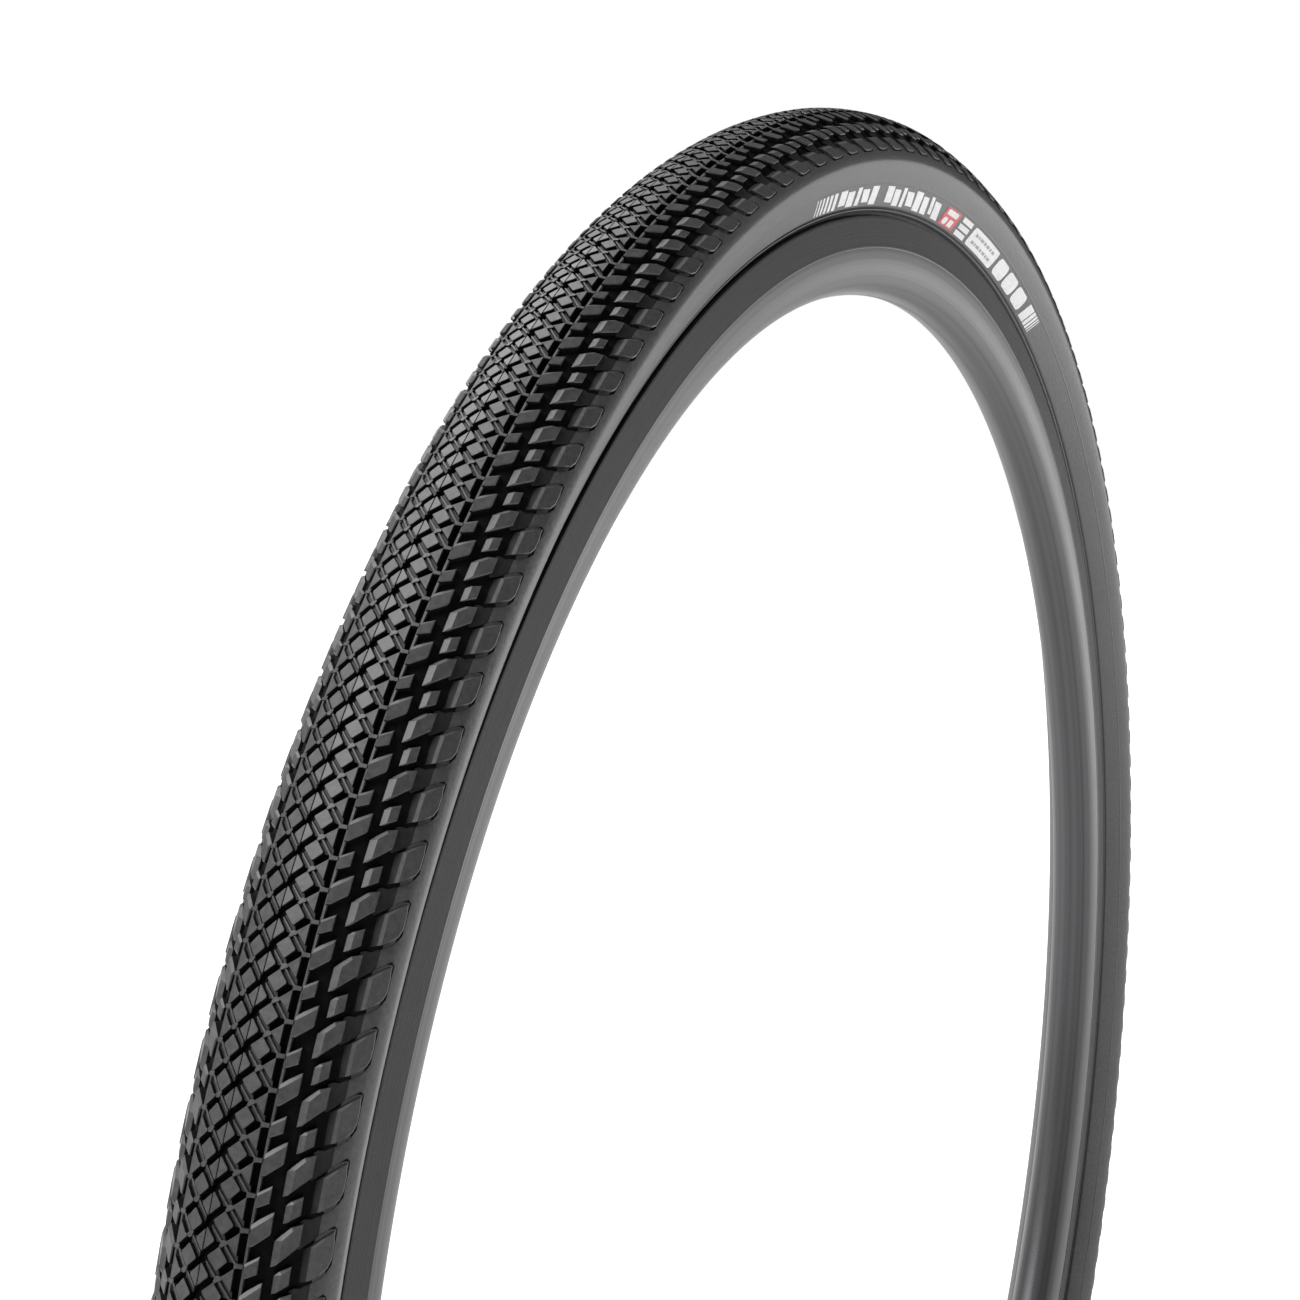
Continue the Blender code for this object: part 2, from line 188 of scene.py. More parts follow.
def turned_metal(name, dark, light, rough, spacing, bump, metallic, specular=0.5):
    """Metal with fine rings cut round the wheel, spacing apart in metres."""
    made = grain(name, dark, light, rough, scale=1600.0, bump=0.05, broad=9.0, metallic=metallic,
                 specular=specular)
    tree = made.node_tree
    shader = tree.nodes["Principled BSDF"]
    link = tree.links.new
    place = node(tree, "ShaderNodeTexCoord")
    split = node(tree, "ShaderNodeSeparateXYZ")
    link(place.outputs["Object"], split.inputs[0])
    flat = node(tree, "ShaderNodeCombineXYZ")
    link(split.outputs["X"], flat.inputs["X"])
    link(split.outputs["Z"], flat.inputs["Y"])
    reach = node(tree, "ShaderNodeVectorMath", operation="LENGTH")
    link(flat.outputs[0], reach.inputs[0])
    stretch = node(tree, "ShaderNodeMath", operation="MULTIPLY")
    link(reach.outputs["Value"], stretch.inputs[0])
    stretch.inputs[1].default_value = 1.0 / spacing
    rings = node(tree, "ShaderNodeTexNoise", Scale=1.0, Detail=2.0)
    rings.noise_dimensions = "1D"
    link(stretch.outputs[0], rings.inputs["W"])
    cut = node(tree, "ShaderNodeBump", Strength=bump, Distance=0.0002)
    link(rings.outputs["Fac"], cut.inputs["Height"])
    tone = shader.inputs["Base Color"].links[0].from_node
    spread = tone.inputs["Fac"].links[0].from_socket
    both = node(tree, "ShaderNodeMath", operation="MULTIPLY_ADD")
    link(rings.outputs["Fac"], both.inputs[0])
    both.inputs[1].default_value = 0.6
    share = node(tree, "ShaderNodeMath", operation="MULTIPLY")
    link(spread, share.inputs[0])
    share.inputs[1].default_value = 0.4
    link(share.outputs[0], both.inputs[2])
    link(both.outputs[0], tone.inputs["Fac"])
    old = shader.inputs["Normal"].links[0].from_node
    link(old.outputs["Normal"], cut.inputs["Normal"])
    link(cut.outputs["Normal"], shader.inputs["Normal"])
    return made


TREAD = grain("tread_rubber", (0.034, 0.034, 0.035), (0.066, 0.066, 0.067), 0.46, scale=700.0, bump=0.22)
# Near-black rubber: painted shade for the grooves' floor, the knobs' walls and the pockets round the shoulder
# knobs.
PAINTED_SHADE_BLACK = grain("groove_painted_shade", (0.003, 0.003, 0.003), (0.007, 0.007, 0.007), 0.80, scale=700.0, bump=0.15,
               specular=0.08)
# Darker rubber: painted shade on the tops of the shallow channels.
CHANNEL = grain("channel_painted_shade", (0.016, 0.016, 0.016), (0.030, 0.030, 0.030), 0.62, scale=700.0, bump=0.15,
                specular=0.28)
# Darker rubber: painted shade on the shoulder's slopes, the bridges and the flank beside the tread.
SLOPE_DARK = grain("shoulder_shade", (0.012, 0.012, 0.012), (0.022, 0.022, 0.022), 0.66, scale=700.0,
                   bump=0.2, specular=0.22)
SIDE = grain("sidewall_rubber", (0.034, 0.034, 0.035), (0.064, 0.064, 0.066), 0.46, bump=0.30)
# Near-black rubber: painted shade on the tyre's foot, round the lip and in behind the flange, and on the
# flank's inside.
TOE = grain("toe_painted_shade", (0.010, 0.010, 0.010), (0.020, 0.020, 0.020), 0.60, bump=0.2)
PRINT = grain("label_white", (0.52, 0.52, 0.52), (0.72, 0.72, 0.72), 0.45, bump=0.15)
PRINT_RED = grain("label_red", (0.42, 0.015, 0.02), (0.56, 0.03, 0.035), 0.45, bump=0.15)
PRINT_GREY = grain("label_grey", (0.20, 0.20, 0.20), (0.30, 0.30, 0.30), 0.45, bump=0.15)
TRACK = turned_metal("brake_track", (0.010, 0.010, 0.011), (0.044, 0.044, 0.046), 0.58, 0.00022, bump=0.45,
                     metallic=0.1, specular=0.25)
SATIN = turned_metal("rim_satin", (0.042, 0.042, 0.044), (0.072, 0.072, 0.075), 0.42, 0.0012, bump=0.06,
                     metallic=0.45)
EDGE = grain("rim_edge", (0.09, 0.09, 0.095), (0.15, 0.15, 0.155), 0.38, metallic=0.6, bump=0.05)
DARK_ALLOY = grain("dark_alloy", (0.030, 0.030, 0.032), (0.055, 0.055, 0.058), 0.34, metallic=0.9, bump=0.06)
BRASS = grain("brass", (0.62, 0.44, 0.20), (0.80, 0.62, 0.34), 0.28, metallic=1.0, bump=0.06)
SEAL = grain("seal_rubber", (0.014, 0.014, 0.014), (0.028, 0.028, 0.028), 0.55, scale=1500.0, bump=0.2)
CAP = grain("cap_plastic", (0.018, 0.018, 0.018), (0.036, 0.036, 0.036), 0.38, scale=1500.0, bump=0.12)
FILM = grain("rim_tape_film", (0.45, 0.40, 0.07), (0.62, 0.56, 0.12), 0.35, bump=0.08)


def woven(name, dark, light, count):
    """Threads crossing in two directions."""
    made, tree, shader = new_material(name)
    link = tree.links.new
    place = node(tree, "ShaderNodeTexCoord")
    waves = []
    for direction in ("X", "Z"):
        wave = node(tree, "ShaderNodeTexWave", Scale=count, Distortion=0.6, Detail=2.0)
        wave.bands_direction = direction
        link(place.outputs["Object"], wave.inputs["Vector"])
        waves.append(wave)
    cross = node(tree, "ShaderNodeMath", operation="MULTIPLY")
    link(waves[0].outputs["Fac"], cross.inputs[0])
    link(waves[1].outputs["Fac"], cross.inputs[1])
    tone = node(tree, "ShaderNodeValToRGB")
    tone.color_ramp.elements[0].color = (*dark, 1.0)
    tone.color_ramp.elements[1].color = (*light, 1.0)
    link(cross.outputs[0], tone.inputs["Fac"])
    link(tone.outputs["Color"], shader.inputs["Base Color"])
    raised = node(tree, "ShaderNodeBump", Strength=0.4, Distance=0.0002)
    link(cross.outputs[0], raised.inputs["Height"])
    link(raised.outputs["Normal"], shader.inputs["Normal"])
    shader.inputs["Roughness"].default_value = 0.8
    return made


BELT = woven("belt_weave", (0.05, 0.05, 0.05), (0.15, 0.15, 0.15), 260.0)
PLY = woven("ply_weave", (0.12, 0.10, 0.06), (0.26, 0.22, 0.14), 300.0)
ARAMID = woven("aramid_strands", (0.45, 0.34, 0.07), (0.70, 0.56, 0.16), 420.0)
CHAFER = woven("chafer_weave", (0.05, 0.05, 0.05), (0.15, 0.15, 0.15), 340.0)


# ---------------------------------------------------------------- mesh helpers
def to_object(name, points, faces, materials, finish=None, crease=35.0):
    mesh = bpy.data.meshes.new(name)
    mesh.from_pydata([tuple(p) for p in points], [], faces)
    for each in materials:
        mesh.materials.append(each)
    if finish is not None:
        mesh.polygons.foreach_set("material_index", finish)
    made = bpy.data.objects.new(name, mesh)
    bpy.context.scene.collection.objects.link(made)
    mesh.shade_smooth()
    mesh.set_sharp_from_angle(angle=math.radians(crease))
    return made


def outward(made):
    """Turns every closed shell's faces outwards."""
    shape = bmesh.new()
    shape.from_mesh(made.data)
    bmesh.ops.recalc_face_normals(shape, faces=shape.faces)
    shape.to_mesh(made.data)
    shape.free()


def ring(name, loop, steps, materials, picks, crease=35.0):
    """A closed (radius, y) loop turned once round the axle. picks gives a material index per loop edge."""
    count = len(loop)
    radius = np.array([p[0] for p in loop])
    along = np.array([p[1] for p in loop])
    turn = np.arange(steps) * 2 * math.pi / steps
    points = np.empty((steps, count, 3))
    points[..., 0] = np.cos(turn)[:, None] * radius
    points[..., 1] = along
    points[..., 2] = np.sin(turn)[:, None] * radius
    here = np.arange(steps)[:, None] * count
    there = (np.arange(steps)[:, None] + 1) % steps * count
    k = np.arange(count)[None, :]
    n = (k + 1) % count
    faces = np.stack([here + k, here + n, there + n, there + k], axis=-1).reshape(-1, 4)
    finish = np.tile(np.array(picks, dtype=np.int32), steps)
    made = to_object(name, points.reshape(-1, 3), faces.tolist(), materials, finish, crease=crease)
    outward(made)
    return made


def keep(made, slot, body, *nodes):
    """Gives a piece its body and hides the CAD nodes that it stands for; slot is not used."""
    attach(made, body)
    if nodes:
        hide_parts(*nodes)
    return made


# ---------------------------------------------------------------- tyre body
def tread_body():
    """The smooth tread under the knobs, with the grooves' floor painted near black as shade, and a narrow
    land on each side in the plain tread rubber.
    """
    edge = TREAD_EDGE
    steps = np.array([6.6, 7.9, 8.1, 8.6, 8.9, 17.3, 19.2])
    land_start, land_end = 7.95, 8.75
    stops = sorted(set(np.round(np.concatenate([np.linspace(-edge, edge, 75), steps, -steps]), 3)))
    radius, along = skin(stops, base_depth(np.abs(stops)))
    outer = list(zip(radius, along))
    inner_stops = np.linspace(edge, -edge, 31)
    edge_thickness, crown_stack = 0.35, 3.2
    share = (0.95 - np.interp(np.abs(inner_stops), ARC, SECTION_POINTS)) / 0.55
    thick = edge_thickness + crown_stack * np.clip(share, 0, 1)
    thick = np.maximum(thick, base_depth(np.abs(inner_stops)) + 0.25)
    radius, along = skin(inner_stops, thick)
    inner = list(zip(radius, along))
    loop = outer + inner
    picks = []
    for first, second in zip(stops, stops[1:]):
        mid = abs(first + second) / 2
        picks.append(0 if land_start < mid < land_end else 1)
    picks += [1] * (len(loop) - len(picks))
    made = ring("tread_body", loop, TREAD_STEPS, [TREAD, PAINTED_SHADE_BLACK], picks)
    return keep(made, "tread_rubber", "root", "tread")


def sidewall(side):
    """One flank, from the tread edge over the lip and in behind the flange, with its moulded lines."""
    name = "left" if side > 0 else "right"
    line, line_height = 35.0, 0.07
    line_stops = [line - 0.20, line - 0.08, line + 0.08, line + 0.20]
    stops = np.concatenate([np.linspace(TREAD_EDGE, 25.0, 16), np.linspace(25.4, 34.6, 24), line_stops,
                            np.linspace(35.6, 42.2, 17), [42.5, 42.75, 42.95]])
    depth = base_depth(stops)
    depth[np.abs(stops - line) < 0.1] = -line_height
    radius, along = skin(stops, depth)
    outer = [(r, abs(y)) for r, y in zip(radius, along)]
    # round the lip, over the moulded bead line, in behind the flange and back up inside it
    foot = [(0.32068, 0.01125), (0.32052, 0.01105), (0.32038, 0.01062), (0.32030, 0.01040),
            (0.32018, 0.01032), (0.32005, 0.01052), (0.31985, 0.01070), (0.31962, 0.01066),
            (0.31950, 0.01040), (0.31940, 0.01005), (0.31925, 0.00960), (0.31890, 0.00915),
            (0.31830, 0.00895), (0.31740, 0.00890), (0.31700, 0.00880), (0.31700, 0.00850),
            (0.31900, 0.00860), (0.31980, 0.01000)]
    bead_line = range(4, 9)
    back_stops = [41.0, 37.0, 33.0, 29.0, 25.5, 23.0, TREAD_EDGE]
    radius, along = skin(back_stops, [1.0, 0.95, 0.9, 0.9, 0.85, 1.1, 1.4])
    inner = [(r, abs(y)) for r, y in zip(radius, along)]
    loop = outer + foot + inner
    # the flank beside the tread is painted darker as shade
    shade_end = 20.9
    picks = [2 if s < shade_end else 0 for s in stops] + [1] * (len(loop) - len(outer))
    # the foot and the inside are painted near black as shade, all but the moulded bead line, which keeps the
    # flank's rubber
    for k in bead_line:
        picks[len(outer) + k] = 0
    made = ring("sidewall_" + name, [(r, -side * y) for r, y in loop], WALL_STEPS,
                [SIDE, TOE, SLOPE_DARK], picks, crease=50.0)
    return keep(made, "sidewall_rubber", "root", "sidewall_" + name)


# ---------------------------------------------------------------- knobs
def grown(outline, amount):
    """The outline moved outwards by amount, keeping its corners."""
    points = np.array(outline, float)
    area = 0.0
    for (x0, y0), (x1, y1) in zip(points, np.roll(points, -1, axis=0)):
        area += x0 * y1 - x1 * y0
    turn = 1.0 if area > 0 else -1.0
    moved = []
    count = len(points)
    for k in range(count):
        before, here, after = points[k - 1], points[k], points[(k + 1) % count]
        first = here - before
        second = after - here
        first /= np.hypot(*first) + 1e-9
        second /= np.hypot(*second) + 1e-9
        out1 = np.array([first[1], -first[0]]) * turn
        out2 = np.array([second[1], -second[0]]) * turn
        both = out1 + out2
        both /= max(both @ out1, 0.55)
        moved.append(here + both * amount)
    return moved


# Knob walls take the near-black rubber as painted shade, channel tops a darker rubber as painted shade, and
# SHADE the shoulder's painted shade.
FACE_SET = [TREAD, PAINTED_SHADE_BLACK, CHANNEL, SIDE, SLOPE_DARK]
TOP, WALL, CHANNEL_TOP, SHOULDER_TOP, SHADE = range(5)


class Knobs:
    """Gathers knobs of one pitch, then repeats them round the wheel. Picks count into FACE_SET."""

    def __init__(self):
        self.points = []
        self.faces = []
        self.picks = []

    def add(self, rings, picks, mirror=None):
        """rings: lists of (x, across, depth) with equal counts, from the top down."""
        first = len(self.points)
        count = len(rings[0])
        for level in rings:
            for x, across, depth in level:
                if mirror is not None:
                    x, across = mirror(x, across)
                self.points.append((x, across, depth))
        self.faces.append([first + k for k in range(count)])
        self.picks.append(picks[0])
        for level in range(len(rings) - 1):
            low, high = first + level * count, first + (level + 1) * count
            for k in range(count):
                n = (k + 1) % count
                self.faces.append([low + k, low + n, high + n, high + k])
                self.picks.append(picks[level + 1])
        last = first + (len(rings) - 1) * count
        self.faces.append([last + k for k in range(count)][::-1])
        self.picks.append(picks[-1])

    def plain(self, outline, top, chamfer, mirror, tilt=0.0, face=TOP):
        """A centre knob with one even chamfer. tilt adds depth per mm across, from the knob's middle."""
        inner = grown(outline, -chamfer)
        foot = grown(outline, 0.12)
        mid = sum(s for _, s in outline) / len(outline)
        rings = [[(x, s, top + tilt * (s - mid)) for x, s in inner],
                 [(x, s, top + chamfer + tilt * (s - mid)) for x, s in outline],
                 [(x, s, CENTRE_FLOOR) for x, s in foot]]
        self.add(rings, [face, face, WALL, WALL], mirror)

    def build(self, name, pitches, shift=0.0):
        """One object with the knobs at each of the pitches, moved on by shift and nearly flat-shaded."""
        local = np.array(self.points)
        count = len(local)
        radius, along = skin(local[:, 1], local[:, 2])
        all_points = np.empty((len(pitches), count, 3))
        for row, k in enumerate(pitches):
            turn = np.radians(START + ((local[:, 0] + shift) / PITCH + k) * 360.0 / PITCHES)
            all_points[row, :, 0] = radius * np.cos(turn)
            all_points[row, :, 1] = along
            all_points[row, :, 2] = radius * np.sin(turn)
        faces = []
        for row in range(len(pitches)):
            start = row * count
            faces += [[start + v for v in face] for face in self.faces]
        finish = np.tile(np.array(self.picks, dtype=np.int32), len(pitches))
        made = to_object(name, all_points.reshape(-1, 3), faces, FACE_SET, finish, crease=9.0)
        outward(made)
        return made


def opposite(x, across):
    """The place on the far half of the centre band, half a turn about the turning point."""
    return 2 * TURN_POINT - x, 2 * MIDDLE - across


def across_middle(x, across):
    """The same place on the other side of the middle line."""
    return x, 2 * MIDDLE - across


def moved(outline, shift):
    return [(x + shift, s) for x, s in outline]


# Half a pitch of the centre band's near half, in (x, across): outline, top depth, and a knob's tilt.
# Knobs: the split diamond on the middle line, the diamond beside it, the triangle at the band's edge.
CENTRE_NEAR = [
    ([(3.85, -0.26), (7.85, -0.26), (7.60, 0.10), (6.05, 1.68), (5.65, 1.68), (4.05, 0.20)], 0.0, 0.03),
    ([(2.20, 0.98), (2.50, 0.98), (4.55, 3.05), (4.52, 3.38), (2.80, 4.98), (2.45, 4.98), (0.50, 3.15),
      (0.50, 2.85)], 0.0, 0.02),
    ([(5.62, 4.25), (5.90, 4.35), (6.12, 4.82), (7.85, 6.60), (3.72, 6.62), (3.80, 6.40)], 0.0, 0.02),
]
# The two thin crossing ribs, the joint between them, and the post at the band's edge.
RIBS_NEAR = [
    ([(3.25, 0.62), (3.55, 0.42), (6.18, 3.00), (5.86, 3.34)], 0.42),
    ([(6.15, 3.92), (6.50, 3.58), (9.62, 6.50), (9.30, 6.86)], 0.42),
    ([(5.55, 3.35), (6.10, 3.00), (6.72, 2.80), (7.00, 3.20), (6.55, 3.75), (6.20, 4.45), (5.62, 4.45),
      (5.50, 3.85)], 0.18),
    ([(9.05, 6.62), (9.55, 6.35), (10.25, 6.40), (10.02, 7.10), (9.98, 8.20), (9.18, 8.20),
      (9.16, 7.10)], 0.30),
]
# The shallow channels that the ribs run in, their tops painted a darker rubber as shade.
CHANNELS_NEAR = [
    ([(2.45, 0.90), (3.05, 0.66), (4.05, 0.35), (6.05, 1.85), (6.08, 3.05), (5.60, 3.72),
      (4.40, 3.30)], 0.82),
    ([(6.10, 3.40), (7.00, 3.20), (9.15, 5.05), (9.28, 6.20), (9.05, 6.90), (7.80, 6.72),
      (6.00, 4.75)], 0.82),
]


def centre_knobs():
    """The centre band: its near half twice in a pitch, and the same turned over to the far half."""
    knobs = Knobs()
    for mirror in (None, opposite):
        for shift in (0.0, PITCH / 2):
            for outline, top, tilt in CENTRE_NEAR:
                knobs.plain(moved(outline, shift), top, 0.09, mirror, tilt=tilt)
            for outline, top in RIBS_NEAR:
                knobs.plain(moved(outline, shift), top, 0.08, mirror)
            for outline, top in CHANNELS_NEAR:
                knobs.plain(moved(outline, shift), top, 0.02, mirror, face=CHANNEL_TOP)
    return knobs


def shaped(knobs, top, rim, mirror, slope=0.16):
    """A knob with its own chamfer: top and rim rings of (x, across, depth), then walls to the floor."""
    foot = grown([(x, s) for x, s, _ in rim], slope)
    knobs.add([top, rim, [(x, s, COLUMN_FLOOR) for x, s in foot]], [TOP, TOP, WALL, WALL], mirror)


def inner_columns(knobs, mirror):
    """The long and the short knob of the first column, then those of the second."""
    shaped(knobs,
           [(9.15, 8.45, 0.0), (12.10, 8.45, 0.0), (11.90, 9.15, 0.0), (9.60, 11.80, 0.0), (9.10, 12.00, 0.0),
            (6.25, 12.00, 0.0), (6.55, 11.60, 0.0), (8.05, 9.85, 0.0)],
           [(8.35, 8.35, 0.40), (12.30, 8.30, 0.12), (12.15, 9.20, 0.14), (9.75, 12.00, 0.14),
            (9.20, 12.20, 0.14), (5.55, 12.20, 0.45), (5.75, 11.70, 0.45), (7.25, 9.60, 0.45)],
           mirror)
    shaped(knobs,
           [(3.10, 8.45, 0.0), (5.05, 8.45, 0.0), (4.90, 8.90, 0.0), (3.95, 10.75, 0.0), (1.55, 10.75, 0.0)],
           [(2.60, 8.35, 0.30), (5.25, 8.30, 0.12), (5.12, 9.00, 0.14), (4.10, 10.95, 0.14),
            (0.92, 10.95, 0.38)],
           mirror)
    shaped(knobs,
           [(10.30, 14.50, 0.0), (14.10, 14.45, 0.0), (13.80, 14.90, 0.0), (10.95, 17.72, 0.0),
            (7.50, 17.75, 0.0), (8.50, 16.10, 0.0), (10.05, 14.75, 0.0)],
           [(10.70, 13.15, 0.85), (15.45, 13.15, 0.85), (15.00, 14.05, 0.40), (11.15, 17.90, 0.16),
            (7.05, 17.95, 0.40), (7.90, 15.85, 0.50), (9.75, 14.00, 0.65)],
           mirror, 0.10)
    shaped(knobs,
           [(3.75, 15.25, 0.0), (6.60, 15.22, 0.0), (6.40, 15.55, 0.0), (5.35, 16.88, 0.0),
            (2.62, 16.90, 0.0), (3.50, 15.45, 0.0)],
           [(4.10, 14.12, 0.75), (7.45, 14.12, 0.75), (7.15, 14.85, 0.40), (5.52, 17.05, 0.15),
            (2.12, 17.05, 0.38), (3.25, 14.95, 0.50)],
           mirror, 0.10)


def bridge_block(knobs, mirror):
    """The low block between the second column and the shoulder, its top painted dark as shade."""
    bridge = [(6.60, 17.40), (11.30, 17.40), (11.90, 17.95), (10.45, 19.90), (9.60, 20.80), (8.80, 21.40),
              (5.00, 21.40), (5.40, 20.60), (6.05, 19.60), (6.10, 18.20)]
    levels = [17.4, 19.6, 21.4]
    rings = [[(x, s, float(np.interp(s, levels, [0.75, 0.86, 0.66]))) for x, s in grown(bridge, -0.12)],
             [(x, s, float(np.interp(s, levels, [0.88, 0.98, 0.74]))) for x, s in bridge],
             [(x, s, COLUMN_FLOOR if s < TREAD_EDGE else 1.3) for x, s in bridge]]
    knobs.add(rings, [SHADE, SHADE, WALL, WALL], mirror)


def painted_pocket_shadow(knobs, mirror):
    """A dark plate standing in for the shadowed pocket that a shoulder knob stands in: painted shade, just
    proud of the smooth body so that it shows.
    """
    stops = np.array([18.5, 19.2, 20.3, 21.2, 22.2, 23.2, 24.0, 24.75])
    low = np.interp(stops, [18.5, 20.12, 22.3, 24.0, 24.75], [10.9, 10.0, 8.15, 6.9, 7.4])
    high = np.interp(stops, [18.5, 20.12, 22.45, 23.75, 24.75], [19.2, 18.7, 17.1, 16.0, 14.2])
    level = base_depth(stops) - 0.07
    pocket = list(zip(low, stops, level)) + list(zip(high, stops, level))[::-1]
    knobs.add([pocket, [(x, s, d + 0.4) for x, s, d in pocket]], [WALL, WALL, WALL], mirror)


def shoulder_knob(knobs, mirror):
    top = [(11.15, 20.80, -0.20), (17.15, 20.80, -0.20), (15.70, 22.40, -0.42), (14.60, 23.60, -0.48),
           (13.00, 24.20, -0.45), (10.20, 24.20, -0.45), (8.15, 23.90, -0.45), (9.45, 22.40, -0.42)]
    edge = [(11.05, 20.12, 0.28), (17.50, 20.12, 0.28), (15.95, 22.45, -0.28), (14.80, 23.75, -0.36),
            (13.05, 24.45, -0.30), (10.15, 24.45, -0.30), (7.85, 24.05, -0.30), (9.15, 22.30, -0.20)]
    slope = [(11.70, 19.10, 1.35), (18.00, 19.10, 1.35), (16.15, 22.50, 0.9), (14.90, 23.85, 0.6),
             (13.05, 24.60, 0.5), (10.15, 24.60, 0.5), (7.70, 24.15, 0.6), (9.00, 22.25, 0.9)]
    wider = grown([(x, s) for x, s, _ in slope], 0.05)
    foot = [(x, s, depth + 0.5) for (x, s), (_, _, depth) in zip(wider, slope)]
    # the slope below the knob's edge is painted dark as shade
    knobs.add([top, edge, slope, foot], [SHOULDER_TOP, TOP, SHADE, WALL, WALL], mirror)


def side_columns(side):
    """Two staggered columns of knobs, the bridges and the shoulder knobs of one side."""
    mirror = None if side > 0 else across_middle
    knobs = Knobs()
    inner_columns(knobs, mirror)
    bridge_block(knobs, mirror)
    painted_pocket_shadow(knobs, mirror)
    shoulder_knob(knobs, mirror)
    return knobs


def tread():
    """The tread's pieces: the body, the centre band in two halves of the wheel, and the two sides."""
    tread_body()
    centre = centre_knobs()
    for half in range(2):
        piece = centre.build("centre_knobs_%d" % (half + 1),
                             range(half * PITCHES // 2, (half + 1) * PITCHES // 2))
        keep(piece, "tread_rubber", "root", "tread")
    for side, name, shift in ((1, "left", 0.0), (-1, "right", PITCH / 2)):
        piece = side_columns(side).build("side_knobs_" + name, range(PITCHES), shift)
        keep(piece, "tread_rubber", "root", "tread")


# ---------------------------------------------------------------- labels
class Print:
    """Gathers the print of one flank. The far one is the near one, half a turn about the vertical."""

    def __init__(self, flip):
        self.points = []
        self.faces = []
        self.finish = []
        self.flip = flip

    def put(self, degrees, across, depth):
        radius, along = skin(across, depth)
        turn = math.radians(degrees)
        x, y, z = float(radius) * math.cos(turn), float(along), float(radius) * math.sin(turn)
        self.points.append((-x, -y, z) if self.flip else (x, y, z))

    def patch(self, outline, pick=0, lift=BARE):
        """A flat print. outline: (degrees, across) corners of a convex shape, split to follow the flank."""
        corners = np.array(outline, float)
        middle = corners.mean(axis=0)
        edge = []
        for a, b in zip(corners, np.roll(corners, -1, axis=0)):
            pieces = max(1, int(math.ceil(max(abs(a[0] - b[0]) / 0.5, abs(a[1] - b[1]) / 1.2))))
            edge += [a + (b - a) * m / pieces for m in range(pieces)]
        rings = [[middle + (p - middle) * share for p in edge] for share in (1.0, 0.66, 0.33)]
        first = len(self.points)
        count = len(edge)
        for p in rings[0]:
            self.put(*p, 0.05)
        for p in rings[0] + rings[1] + rings[2]:
            self.put(*p, -lift)
        self.put(*middle, -lift)
        for low in range(first, first + 3 * count, count):
            for k in range(count):
                m = (k + 1) % count
                self.faces.append([low + k, low + m, low + count + m, low + count + k])
        last = first + 3 * count
        for k in range(count):
            self.faces.append([last + k, last + (k + 1) % count, last + count])
        self.finish += [pick] * (4 * count)

    def row(self, start, widths, low, high, lean, gap, pick=0, lift=BARE):
        """Leaning bars, one after another down from the angle start."""
        for width in widths:
            self.patch(slanted(start, start - width, low, high, lean), pick, lift)
            start -= width + gap


def slanted(start, stop, low, high, lean):
    """A bar from angle start down to stop, leaning by lean degrees."""
    return [(start + lean, low), (stop + lean, low), (stop - lean, high), (start - lean, high)]


def rounded(start, stop, low, high, corner=1.3):
    """A rectangle with round corners, angles in degrees and the rest in mm."""
    flank_radius = 325.0
    per = 180.0 / math.pi / flank_radius
    outline = []
    for a, s, begin in ((stop, high, 0.0), (start, high, 90.0), (start, low, 180.0), (stop, low, 270.0)):
        inward_a = corner * per * (1 if a == stop else -1)
        inward_s = -corner if s == high else corner
        for k in range(5):
            turn = math.radians(begin + 22.5 * k)
            outline.append((a + inward_a - corner * per * math.cos(turn),
                            s + inward_s + corner * math.sin(turn)))
    return outline


def label(side):
    """Plain shapes where the print is: tapering bars, two groups of blocks, a badge, a plate and pads."""
    made = Print(side < 0)
    white, red, grey = range(3)
    made.row(102.8, (0.10, 0.16, 0.22, 0.28, 0.34, 0.42), PRINT_LOW, PRINT_HIGH, 0.45, 0.26)
    groups = ((99.6, (0.95, 0.95, 0.55, 0.95, 0.95)),
              (92.6, (1.05, 0.9, 0.5, 1.05, 1.05, 0.9, 0.5, 1.05)))
    cut = 0.9
    for at, widths in groups:
        for k, width in enumerate(widths):
            low = PRINT_LOW + (cut if k % 2 else 0.0)
            high = PRINT_HIGH if k % 3 else PRINT_HIGH - cut
            made.patch(slanted(at, at - width, low, high, 0.40))
            at -= width + 0.32
    made.patch(rounded(82.55, 80.05, 36.1, 42.7, 0.2), red)
    made.patch(rounded(82.2, 80.4, 36.7, 38.6, 0.8), white, RAISED)
    made.patch(rounded(82.2, 81.5, 39.6, 42.1, 0.9), white, RAISED)
    made.patch(rounded(81.2, 80.5, 39.6, 42.1, 0.3), white, RAISED)
    for base in (36.0, 38.5, 41.0):
        made.patch(slanted(79.5, 77.7, base, base + 1.8, 0.05))
    made.patch(rounded(77.2, 71.9, 35.9, 42.8))
    for base in (37.4, 40.2):
        made.row(76.5, (0.45, 0.25, 0.6, 0.35, 0.5, 0.3, 0.45), base, base + 1.1, 0.0, 0.16, grey, RAISED)
    for start, stop in ((71.4, 69.4), (69.1, 67.1), (66.8, 64.8)):
        made.patch(rounded(start, stop, 36.2, 42.5, 1.9))
    made.row(64.1, (1.00, 0.42, 0.28, 0.16, 0.10), PRINT_LOW, PRINT_HIGH, -0.15, 0.13)
    name = "left" if side > 0 else "right"
    piece = to_object("sidewall_label_print_" + name, made.points, made.faces,
                      [PRINT, PRINT_RED, PRINT_GREY], made.finish, crease=40.0)
    return keep(piece, "label_print", "root", "sidewall_label_" + name)


